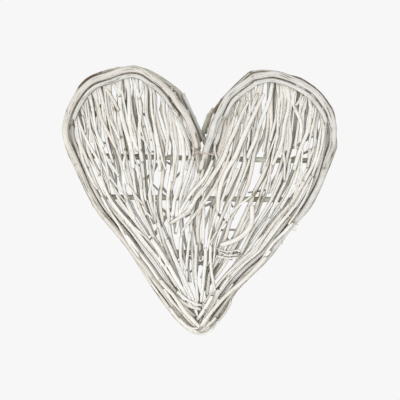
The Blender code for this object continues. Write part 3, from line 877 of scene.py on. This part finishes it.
# Flank rods
# Thinner rods that run beside the second rim rods from the shoulders to the tip, over the feet of the
# twigs, and fill the space between rim and infill.
FLANK_DIAMETER = 0.0066
FLANK_SEED = 51
FLANK_THICKNESS = (0.85, 1.05)
FLANK_SCATTER = 0.02
FLANK_WAVE = 0.0011
FLANK_WAVE_TURNS = 22
FLANK_DROP = (0.86, 0.95)
FLANK_ROWS = ((0.50, 0.968, 0.0), (0.60, 0.945, 1.2))
for seed, (side_name, lobe) in enumerate(lobes.items()):
    random_source = random.Random(FLANK_SEED + seed)
    shape = bmesh.new()
    for start_share, end_share, row in FLANK_ROWS:
        radius = FLANK_DIAMETER / 2 * random_source.uniform(*FLANK_THICKNESS)
        phase = random_source.uniform(0, 2 * math.pi)
        points = lobe.follow(
            (start_share + random_source.uniform(-FLANK_SCATTER, FLANK_SCATTER), end_share),
            lambda share: (lobe.bundle_edge(share) + (row + 0.5) * (FLANK_DIAMETER + GAP)
                           + FLANK_WAVE * math.sin(phase + FLANK_WAVE_TURNS * share)),
            steady(radius),
            lambda share: TOP_LEVEL - (TOP_LEVEL - FRONT_TWIG_LEVEL) * (1 - row / 2)
            * (1 - smooth_step(*FLANK_DROP, share)), 40)
        add_rod(shape, points, tapering(2 * radius, 0.75), kink=0.0008, knot_spacing=0.05)
    finish_piece(f"flank_rods_{side_name}", shape, full_wash, [], "whitewashed_willow")

# Crossing rods
# Heavier rods laid last, over the middle of the infill: two come down from the right lobe and cross
# to the left, one curves in from the right flank, and a short one stands in the middle with a blunt top.
CROSSING_ROD_DIAMETER = 0.0098
THIN_CROSSING_DIAMETER = 0.0062
TIP_ROD_DIAMETER = 0.0076
SLIM_ENDS = (0.58, 0.78, 0.84)
BLUNT_ENDS = (0.92, 0.85, 0.94)
MAINS_LEVEL = LOW_LEVEL + MAIN_ROD_DIAMETER * ROD_FLAT + GAP
TOP_RODS = (
    ("crossing_rod_left", CROSSING_ROD_DIAMETER, TOP_LEVEL, SLIM_ENDS, (
        (0.176, 0.366), (0.150, 0.318), (0.118, 0.250), (0.089, 0.196), (0.057, 0.113),
        (0.025, 0.055), (-0.008, 0.014), (-0.040, -0.039), (-0.109, -0.091))),
    ("crossing_rod_middle", CROSSING_ROD_DIAMETER, TOP_LEVEL, SLIM_ENDS, (
        (0.226, 0.398), (0.196, 0.340), (0.165, 0.265), (0.127, 0.171), (0.093, 0.106),
        (0.073, 0.039), (0.065, -0.045))),
    ("crossing_rod_right", CROSSING_ROD_DIAMETER, TOP_LEVEL, BLUNT_ENDS, (
        (0.190, -0.020), (0.188, -0.075), (0.172, -0.114), (0.138, -0.148), (0.076, -0.172))),
    ("upright_rod", THIN_CROSSING_DIAMETER, TOP_LEVEL, BLUNT_ENDS, (
        (0.014, -0.034), (0.015, -0.100), (0.014, -0.164))),
    ("tip_rod_left", TIP_ROD_DIAMETER, MAINS_LEVEL, BLUNT_ENDS, (
        (-0.092, -0.366), (-0.050, -0.412), (-0.008, -0.458))),
    ("tip_rod_right", TIP_ROD_DIAMETER, MAINS_LEVEL, BLUNT_ENDS, (
        (0.072, -0.335), (0.040, -0.382), (0.002, -0.424))),
)
for name, diameter, end_level, (start, end, full), shares in TOP_RODS:
    points = [heart_place(*share) for share in shares]
    for number, point in enumerate(points):
        point.z = (TOP_LEVEL + (end_level - TOP_LEVEL) * number / (len(points) - 1)
                   + diameter * REST_SHARE)
    shape = bmesh.new()
    add_rod(shape, points, swelling(diameter * full, start, end), sides=12, kink=0.0024,
            knot_spacing=0.036, warmth=0.35, sway=0.0034)
    finish_piece(name, shape, full_wash, [name], "whitewashed_willow")

# Loose rods
# Shorter lengths pushed in by hand once the rim was bound: in the cleft, over the crowns and flanks,
# across the middle, standing in the bottom and wedging the tip, with a few thin dark brown slips; two of
# them, along the right crown's outer edge and in the slit of the cleft, are painted shade. Each row gives
# a diameter, a pair of levels for its two ends, and pixels of the view from the front.
VIEW_MIDDLE = (200.0, 199.5)
VIEW_HEART_WIDTH = 276.0
METRES_PER_PIXEL = HEART_WIDTH / VIEW_HEART_WIDTH
OVER_CROSSING = TOP_LEVEL + CROSSING_ROD_DIAMETER * TWIG_FLAT + GAP
OVER_TIP = MAINS_LEVEL + 0.8 * MAIN_ROD_DIAMETER
ON_TOP_MAINS = TOP_LEVEL + 0.85 * MAIN_ROD_DIAMETER
# Dark brown finish of the slips: bare bark in places, painted shade where a slip lies along a shaded edge
# or slit.
bark_and_shade_brown = bark_material(
    "bare_bark_and_painted_shade", Bark_Light=(0.30, 0.215, 0.14, 1.0), Bark_Dark=(0.075, 0.05, 0.032, 1.0),
    Wash_Light=(0.70, 0.66, 0.60, 1.0), Wash_Shade=(0.40, 0.36, 0.30, 1.0), Wash=0.42, Wash_Behind=0.10)
olive_bark = bark_material(
    "bare_olive_bark", Bark_Light=(0.50, 0.48, 0.34, 1.0), Bark_Dark=(0.22, 0.20, 0.12, 1.0),
    Wash_Light=(0.66, 0.65, 0.54, 1.0), Wash_Shade=(0.50, 0.48, 0.37, 1.0), Wash=0.80, Wash_Behind=0.60)
LOOSE_FINISHES = {
    "crown_overlays": (shaded_rim, "shaded_willow"),
    "cleft_rods": (rim_wash, "whitewashed_willow"), "cleft_wedge": (olive_bark, "bare_willow"),
    "bark_and_shade_slips": (bark_and_shade_brown, "bare_willow"), "tip_backing": (shaded_thin_wash, "shaded_willow"),
    "middle_backing": (shaded_thin_wash, "shaded_willow"),
}
LOW = (LOW_LEVEL, LOW_LEVEL)
FROM_LOW = (LOW_LEVEL, FRONT_TWIG_LEVEL)
IN_TWIGS = (FRONT_TWIG_LEVEL, FRONT_TWIG_LEVEL)
RISING = (FRONT_TWIG_LEVEL, TOP_LEVEL)
ON_TWIGS = (TOP_LEVEL, TOP_LEVEL)
TO_CROSSING = (TOP_LEVEL, OVER_CROSSING)
FROM_CROSSING = (OVER_CROSSING, TOP_LEVEL)
ON_MAINS = (MAINS_LEVEL, MAINS_LEVEL)
MAINS_TO_TOP = (MAINS_LEVEL, OVER_CROSSING)
TOP_TO_MAINS = (OVER_CROSSING, MAINS_LEVEL)
MAINS_TO_TIP = (MAINS_LEVEL, OVER_TIP)
BESIDE_MAINS = (MAINS_LEVEL - 0.0030, MAINS_LEVEL)
UNDER_MAINS = (MAINS_LEVEL - 0.0040, MAINS_LEVEL)
CLEFT_POST = (0.0108, 0.0108)
CLEFT_RISE = (0.0010, LOW_LEVEL - 0.0060)
CLEFT_SLIT = (ON_TOP_MAINS, OVER_CROSSING)
CLEFT_EDGE = (LOW_LEVEL + 0.0034, LOW_LEVEL + 0.0034)
FLANK_EDGE = (LOW_LEVEL + 0.0055, LOW_LEVEL + 0.0055)
CROWN_EDGE = (TOP_LEVEL + 0.0045, TOP_LEVEL + 0.0045)
ON_FLOOR = (0.0, 0.0)
NEAR_FLOOR = (0.0015, 0.0015)
OVER_FLOOR = (0.0060, 0.0060)
LOOSE_RODS = {
    "cleft_rods": (
        (0.0064, LOW, (182.5, 93), (188, 105), (194, 118), (199.5, 130), (205, 143)),
        (0.0108, CLEFT_POST, (189, 126), (194, 139), (197, 151), (198.5, 162), (200, 173)),
        (0.0062, IN_TWIGS, (176, 109), (183, 126), (188.5, 141), (190, 154), (187, 170)),
        (0.0062, IN_TWIGS, (226, 122), (221.5, 140), (216, 157), (209, 172), (203, 188)),
        (0.0050, IN_TWIGS, (195, 160), (193, 176), (186, 192), (180, 210)),
        (0.0062, IN_TWIGS, (171, 104), (174.5, 124), (177, 147), (176.5, 168), (171, 190)),
        (0.0058, IN_TWIGS, (180, 113), (182, 134), (183, 155), (181.5, 178), (176, 199)),
        (0.0064, FROM_LOW, (204, 136), (206.5, 150), (205.5, 163), (200, 179)),
        (0.0060, FROM_LOW, (220, 131), (214.5, 148), (210.5, 162), (204, 177)),
        (0.0054, FROM_LOW, (213, 138), (210, 153), (207, 167), (199, 184)),
    ),
    "cleft_wedge": (
        (0.0080, CLEFT_RISE, (201.5, 138), (204.5, 127), (209.5, 115), (214, 108)),
    ),
    "bark_and_shade_slips": (
        (0.0052, LOW, (222.5, 99), (217.6, 106), (213.6, 113), (210.8, 120), (208.6, 127)),
        (0.0036, FLANK_EDGE, (304, 199), (300, 208), (295.5, 217), (290.5, 225)),
        (0.0034, ON_TWIGS, (79, 88.5), (84, 82.4), (91, 76.6), (102, 72)),
        # Painted shade: a dark slip along the shaded outer edge of the right crown.
        (0.0022, CROWN_EDGE, (283, 74.2), (298, 78.0), (311, 85.2), (321, 94.2), (328.6, 105),
         (333.2, 114), (333.8, 126)),
        (0.0018, ON_TWIGS, (262, 78.6), (272, 77.6), (284, 79.8), (296, 84.5)),
        # Painted shade: a dark slip in the shaded slit of the cleft.
        (0.0028, CLEFT_SLIT, (195.8, 133), (198.3, 142), (200, 151), (201.8, 160)),
        (0.0022, ON_MAINS, (189, 326.5), (196, 330.8), (203, 331.2), (210, 326.5)),
        (0.0024, CLEFT_EDGE, (242, 81.5), (246, 77.5), (250.5, 73.5)),
        (0.0030, BESIDE_MAINS, (170, 298), (178, 309), (187, 319), (195, 326.5)),
        (0.0024, MAINS_TO_TIP, (233.5, 288), (226, 297.5), (218, 308.5), (209.5, 320)),
        (0.0030, FLANK_EDGE, (167, 292), (170.5, 298), (175, 305)),
    ),
    "tip_backing": (
        (0.0070, NEAR_FLOOR, (176, 296), (184, 308), (194, 322), (199, 328)),
        (0.0070, LOW, (186, 300), (193, 312), (199, 325)),
        (0.0066, LOW, (216, 298), (207, 310), (199, 323)),
        (0.0066, NEAR_FLOOR, (222, 302), (212, 314), (202, 327)),
        (0.0080, NEAR_FLOOR, (201, 294), (200, 310), (200, 327)),
    ),
    "crown_twigs_left": (
        (0.0066, RISING, (104, 85), (112.5, 98), (119, 111)),
        (0.0080, RISING, (120, 77.5), (120, 92), (121, 110), (126, 130), (131, 148), (134, 168)),
        (0.0054, RISING, (112, 82), (116, 88), (120, 97)),
        (0.0072, RISING, (127.5, 77), (129, 95), (129, 110), (131, 130), (138, 151)),
        (0.0070, RISING, (133, 77), (138, 92), (140.5, 110), (139, 136), (143, 162)),
        (0.0060, RISING, (86, 97), (90, 112), (96, 129), (105, 147)),
        (0.0054, RISING, (76.5, 113), (82, 129), (90, 146), (101, 164)),
        (0.0062, RISING, (93, 91), (97.5, 103), (101.5, 118), (108, 131), (117, 148)),
        (0.0058, RISING, (99, 88), (105, 105), (110, 119), (120, 139)),
        (0.0060, RISING, (80, 104), (87, 121), (96, 138), (106, 157), (119, 176)),
        (0.0066, RISING, (150, 81), (155, 98), (154, 122), (158, 146), (160, 171)),
        (0.0050, RISING, (144, 79), (142, 90), (138.5, 99)),
        (0.0060, RISING, (166, 91), (164, 110), (168, 131), (166, 156)),
    ),
    "crown_twigs_right": (
        (0.0068, RISING, (260, 84), (255, 100), (247.5, 119), (243, 140)),
        (0.0076, RISING, (272.5, 82), (269, 101), (261, 119), (256, 138), (247, 158)),
        (0.0056, RISING, (277, 82), (278, 96), (275, 120), (270, 141)),
        (0.0072, RISING, (287, 83), (288.5, 101), (285, 122), (281, 143), (272, 165)),
        (0.0060, RISING, (297, 87), (293, 98), (295, 109), (301, 124), (300, 142)),
        (0.0076, RISING, (309, 95), (310.5, 112), (307.5, 130), (300, 148), (293, 170)),
        (0.0054, RISING, (303, 90), (300, 99), (295, 106)),
        (0.0064, RISING, (320, 108), (322, 124), (318.5, 141), (314, 160), (304, 181)),
        (0.0062, RISING, (240, 96), (236, 113), (229, 131), (225, 149)),
        (0.0066, RISING, (300, 148), (298, 168), (291, 188), (280, 208)),
        (0.0060, RISING, (310, 148), (308, 165), (301, 185), (289, 205)),
        (0.0058, RISING, (290, 158), (286, 178), (277, 198), (268, 217)),
    ),
    # Thin rods along the outer edge of both crowns in the darker rim finish: painted shade along that
    # edge.
    "crown_overlays": (
        (0.0036, LOW, (73.5, 98), (77, 89.5), (82, 82.5), (90, 76), (103, 71.3), (119, 68.3),
         (134, 67.6), (147, 71.5), (160, 78.5)),
        (0.0036, LOW, (250, 72), (262, 70), (276, 71.5), (292, 76), (308, 84.5), (320, 95),
         (329, 109)),
    ),
    "flank_overlays": (
        (0.0046, LOW, (128, 246.5), (138, 260), (146, 272), (152.5, 284), (164, 300), (176, 316)),
        (0.0054, ON_MAINS, (126, 234), (140, 252), (150, 266), (159, 279), (170, 291)),
        (0.0048, ON_MAINS, (102, 196), (109, 209), (119, 225), (128, 241), (139, 257)),
        (0.0052, ON_MAINS, (292, 222), (283, 233), (273, 243), (262, 258), (252, 270)),
        (0.0044, ON_MAINS, (313, 178), (307, 193), (298, 209), (288, 224)),
        (0.0048, ON_MAINS, (270, 250), (257, 265), (243, 281), (230, 293)),
    ),
    "slanting_rods": (
        (0.0056, ON_TWIGS, (231, 151), (222, 173), (212, 190), (203, 204), (193, 217), (182, 231)),
        (0.0060, ON_TWIGS, (213, 160), (204, 178), (193, 191), (182, 208), (176, 232)),
        (0.0050, ON_TWIGS, (239, 150), (230, 176), (222, 200), (212, 226), (207, 250)),
        (0.0026, FROM_CROSSING, (207, 186), (195, 200), (183, 211), (170, 223)),
        (0.0042, ON_TWIGS, (213, 166), (205, 182), (195, 196), (185, 211)),
        (0.0038, ON_TWIGS, (226, 163), (217, 183), (207, 198), (198, 215)),
        (0.0044, ON_TWIGS, (237, 168), (229, 186), (220, 203), (214, 219)),
        (0.0040, IN_TWIGS, (199, 172), (193, 186), (185, 197), (178, 209)),
        (0.0034, ON_TWIGS, (257, 192), (239, 205), (224, 222), (216, 240), (213, 262)),
    ),
    "middle_backing": (
        (0.0048, IN_TWIGS, (211, 206), (209.5, 222), (208.5, 240)),
        (0.0040, IN_TWIGS, (216, 204), (214, 221), (213, 238)),
        (0.0044, IN_TWIGS, (200, 175), (196, 190), (189, 205)),
        (0.0044, IN_TWIGS, (219, 171), (211, 188), (203, 203)),
        (0.0044, IN_TWIGS, (231, 176), (223, 193), (217, 208)),
    ),
    "standing_rods": (
        (0.0060, ON_TWIGS, (181, 236), (180.5, 253), (182.5, 270)),
        (0.0056, ON_TWIGS, (190, 232), (187, 256), (187, 281)),
        (0.0056, ON_TWIGS, (196, 243), (195.5, 270), (198, 301)),
        (0.0064, ON_TWIGS, (206, 247), (204, 270), (201.5, 301)),
        (0.0056, ON_TWIGS, (211, 244), (210.5, 264), (215.5, 291)),
        (0.0080, ON_TWIGS, (152, 238), (162, 254), (173, 272), (186, 295)),
        (0.0074, ON_TWIGS, (167, 238), (176, 260), (186, 282), (194, 300)),
    ),
    "wedge_rods": (
        (0.0066, ON_TWIGS, (160, 279), (168, 288), (178, 297), (190, 305), (200.5, 308.5)),
        (0.0052, FROM_CROSSING, (177, 290), (186, 297.5), (195, 302.5), (203, 304.8)),
        (0.0072, TO_CROSSING, (172, 291), (179, 301), (186, 311), (193, 318.5), (199.5, 326)),
        (0.0072, FROM_CROSSING, (212, 294), (207.5, 303), (202, 312), (197, 319)),
        (0.0068, MAINS_TO_TOP, (266, 256), (255, 268), (243, 279.5), (228, 292), (216, 304.5), (207, 316),
         (200.5, 325)),
        (0.0056, ON_TWIGS, (229, 276), (219, 292), (213, 304), (204, 316)),
        (0.0048, LOW, (231, 300), (228.5, 307), (222, 316.5), (213.5, 325.5), (205, 332)),
        (0.0046, LOW, (158, 292), (170, 309.5), (181, 321.5), (191, 330), (200, 334)),
        (0.0050, ON_MAINS, (170, 307), (180, 319), (191, 328), (202, 330.5), (210, 325)),
        (0.0042, MAINS_TO_TOP, (179, 317), (188, 325.5), (197, 327), (206, 321)),
        (0.0036, TOP_TO_MAINS, (216, 315), (209, 323), (201, 329), (193, 331)),
        (0.0052, LOW, (171, 308), (181, 321.5), (190, 329.5), (198, 333.3), (205, 333), (212, 328),
         (219, 319)),
        (0.0050, ON_MAINS, (205, 305), (202, 313), (200, 322), (201, 331)),
        (0.0064, ON_FLOOR, (177, 318.5), (187, 328.3), (195, 332.6), (202, 333.3), (209, 330.5),
         (216, 323), (222, 315)),
        (0.0060, OVER_FLOOR, (183, 321.5), (192, 329.3), (201, 331.6), (209, 327.8), (217, 318)),
        (0.0058, UNDER_MAINS, (164, 288), (172, 299.5), (181, 310.5), (190, 320.5), (198, 328)),
        (0.0044, MAINS_TO_TIP, (233, 283), (226, 293), (217, 304.5), (209, 316), (203, 326)),
    ),
    "bottom_bunch": (
        (0.0028, ON_TWIGS, (217, 248), (227, 251.5), (240, 249)),
        (0.0024, ON_TWIGS, (218, 251), (229, 255), (240, 252.5)),
        (0.0028, ON_TWIGS, (216, 255), (228, 257.5), (238, 256)),
        (0.0022, ON_TWIGS, (216.5, 258), (226, 254), (238, 254.5)),
    ),
}


def view_place(across_pixel, down_pixel):
    """The place under a pixel of the view from the front."""
    return Vector(((across_pixel - VIEW_MIDDLE[0]) * METRES_PER_PIXEL,
                   (VIEW_MIDDLE[1] - down_pixel) * METRES_PER_PIXEL, 0.0))


def laid_line(diameter, levels, pixels):
    """Points of a rod that is laid on others, with its underside between two levels."""
    start_level, end_level = levels
    points = curve_through([view_place(*pixel) for pixel in pixels], TWIG_STEPS)
    for step, point in enumerate(points):
        point.z = start_level + (end_level - start_level) * step / TWIG_STEPS + diameter / 2
    return points


for name, rods in LOOSE_RODS.items():
    shape = bmesh.new()
    for diameter, levels, *pixels in rods:
        add_rod(shape, laid_line(diameter, levels, pixels), tapering(diameter, TWIG_TAPER),
                kink=0.0008, knot_spacing=0.03)
    finish, slot = LOOSE_FINISHES.get(name, (full_wash, "whitewashed_willow"))
    finish_piece(name, shape, finish, [], slot)

# Tie wires
# Thin soft wire twisted round the rods in the cleft and on the right flank, to hold the bundle. It was
# sprayed over with the same wash, and rust shows where the wash has worn off.
WIRE_DIAMETER = 0.0018
CLEFT_WIRE_ENDS = ((-0.025, 0.178), (0.051, 0.166))
FLANK_WIRE_SHARE = 0.700
WIRE_DROP = 0.0050
WIRE_CLEARANCE = 0.0012
WIRE_SHARE = 0.46
wire_finish = bpy.data.materials.new("tie_wire")
wire_finish.use_nodes = True
tree = wire_finish.node_tree
shader = tree.nodes["Principled BSDF"]
place = add_node(tree, "ShaderNodeTexCoord", "place").outputs["Object"]
rust = ramp_mask(tree, "rust and wash", noise_value(tree, "patches", place, 320.0, 3.0), 0.42, 0.62)
tree.links.new(mix_colours(tree, "wire", rust, (0.52, 0.42, 0.34, 1.0), (0.82, 0.78, 0.72, 1.0)),
               shader.inputs["Base Color"])
shader.inputs["Roughness"].default_value = 0.55
shader.inputs["Metallic"].default_value = 0.35


def wire_route(start, end, height):
    """A wire over rods from start to end, with both ends turned down beside them."""
    radius = WIRE_DIAMETER / 2
    along = (end - start).normalized()
    half_span = (end - start).length / 2
    middle = (start + end) / 2 + Vector((0.0, 0.0, height + GAP + radius))
    corner = 2 * WIRE_DIAMETER
    profile = [(-half_span, -corner - WIRE_DROP), (-half_span, -corner)]
    profile += [(-half_span + corner * (1 - math.cos(a)), -corner * (1 - math.sin(a)))
                for a in (math.pi / 6, math.pi / 3, math.pi / 2)]
    profile += [(-across, drop) for across, drop in reversed(profile)]
    return [middle + along * across + Vector((0.0, 0.0, drop)) for across, drop in profile]


right_lobe = lobes["right"]
reach = WIRE_CLEARANCE + WIRE_DIAMETER / 2
outer_edge = right_lobe.main_inset(FLANK_WIRE_SHARE) - right_lobe.main_radius(FLANK_WIRE_SHARE) - reach
inner_edge = right_lobe.bundle_edge(FLANK_WIRE_SHARE) + reach
main_height = MAIN_ROD_DIAMETER * ROD_FLAT
wire_routes = {
    "tie_wire_cleft": wire_route(*(heart_place(*share) for share in CLEFT_WIRE_ENDS),
                                 TOP_LEVEL + main_height),
    "tie_wire_flank": wire_route(right_lobe.place(FLANK_WIRE_SHARE, outer_edge),
                                 right_lobe.place(FLANK_WIRE_SHARE, inner_edge),
                                 LOW_LEVEL + main_height),
}
for name, points in wire_routes.items():
    shape = bmesh.new()
    add_rod(shape, points, steady(WIRE_DIAMETER * WIRE_SHARE), sides=8, kink=0.0003, knot_spacing=0.012,
            swell=0.0)
    finish_piece(name, shape, wire_finish, [name], "tie_wire")

# Loose wire ends
# Thinner wire that was left over when the rods were tied: one strand across the cleft, and small
# loops that stand off the right flank.
CLEFT_WIRE = (ON_TOP_MAINS + 0.0020, OVER_CROSSING)
CROWN_WIRE = (ON_TOP_MAINS, ON_TOP_MAINS)
THIN_WIRES = {
    "cleft_wires": (
        (0.0013, CLEFT_WIRE, (191, 147.5), (199.5, 152), (207, 153.2), (217, 152.6),
         (222, 156.5)),
        (0.0010, CROWN_WIRE, (209, 130), (214, 131.5), (220.5, 134)),
    ),
    "flank_wires": (
        (0.0010, LOW, (290.5, 225), (293.5, 229.5), (296.3, 230.2), (297, 228.4), (295.3, 226.8)),
        (0.0010, LOW, (278.5, 240), (281.2, 243.4), (283.2, 243.2), (282.8, 241.2)),
    ),
}
for name, wires in THIN_WIRES.items():
    shape = bmesh.new()
    for diameter, levels, *pixels in wires:
        add_rod(shape, laid_line(diameter, levels, pixels), steady(diameter / 2), sides=6,
                kink=0.0002, knot_spacing=0.012, swell=0.0)
    finish_piece(name, shape, wire_finish, [], "tie_wire")

# Floor, light and camera
# A plain pale floor of even paper white and two soft lamps, one strong and one weak, as in a shop's
# studio picture. The camera hangs straight above the middle of the heart.
floor_shape = bmesh.new()
bmesh.ops.create_grid(floor_shape, x_segments=1, y_segments=1, size=12.0)
floor_mesh = bpy.data.meshes.new("floor")
floor_shape.to_mesh(floor_mesh)
floor_shape.free()
floor = bpy.data.objects.new("floor", floor_mesh)
bpy.context.scene.collection.objects.link(floor)
floor_finish = bpy.data.materials.new("pale_floor")
floor_finish.use_nodes = True
floor_tree = floor_finish.node_tree
floor_shader = floor_tree.nodes["Principled BSDF"]
floor_shader.inputs["Base Color"].default_value = (0.95, 0.95, 0.94, 1.0)
floor_shader.inputs["Roughness"].default_value = 0.9
floor_shader.inputs["Specular IOR Level"].default_value = 0.0
paper = add_node(floor_tree, "ShaderNodeEmission", "even paper white",
                 {"Color": (0.93, 0.93, 0.928, 1.0), "Strength": 1.0})
seen = add_node(floor_tree, "ShaderNodeLightPath", "what the camera sees").outputs["Is Camera Ray"]
floor_mix = add_node(floor_tree, "ShaderNodeMixShader", "paper for the camera, floor for the light")
floor_tree.links.new(seen, floor_mix.inputs[0])
floor_tree.links.new(floor_shader.outputs[0], floor_mix.inputs[1])
floor_tree.links.new(paper.outputs[0], floor_mix.inputs[2])
floor_tree.links.new(floor_mix.outputs[0], floor_tree.nodes["Material Output"].inputs["Surface"])
floor_mesh.materials.append(floor_finish)

world = bpy.data.worlds.new("studio")
bpy.context.scene.world = world
world.use_nodes = True
background = world.node_tree.nodes["Background"]
background.inputs["Color"].default_value = (1.0, 1.0, 1.0, 1.0)
background.inputs["Strength"].default_value = 0.78
LAMPS = (("softbox_left", (-1.2, -0.7, 1.7), 1.6, 19.5), ("softbox_right", (0.9, 0.7, 2.0), 1.8, 5.0))
for lamp_name, lamp_place, lamp_size, lamp_power in LAMPS:
    lamp_data = bpy.data.lights.new(lamp_name, "AREA")
    lamp_data.size = lamp_size
    lamp_data.energy = lamp_power
    lamp = bpy.data.objects.new(lamp_name, lamp_data)
    lamp.location = lamp_place
    lamp.rotation_euler = (-Vector(lamp_place)).to_track_quat("-Z", "Y").to_euler()
    bpy.context.scene.collection.objects.link(lamp)

PIXELS_ACROSS = 400
LENS = 100.0
SENSOR = 36.0
camera_data = bpy.data.cameras.new("camera")
camera_data.lens = LENS
camera_data.sensor_width = SENSOR
camera_data.clip_start = 0.05
camera = bpy.data.objects.new("camera", camera_data)
mid_height = (cad_low.z + cad_high.z) / 2
camera.location = (0.0, 0.0, mid_height + PIXELS_ACROSS * METRES_PER_PIXEL * LENS / SENSOR)
bpy.context.scene.collection.objects.link(camera)
bpy.context.scene.camera = camera
bpy.context.scene.view_settings.view_transform = "Standard"
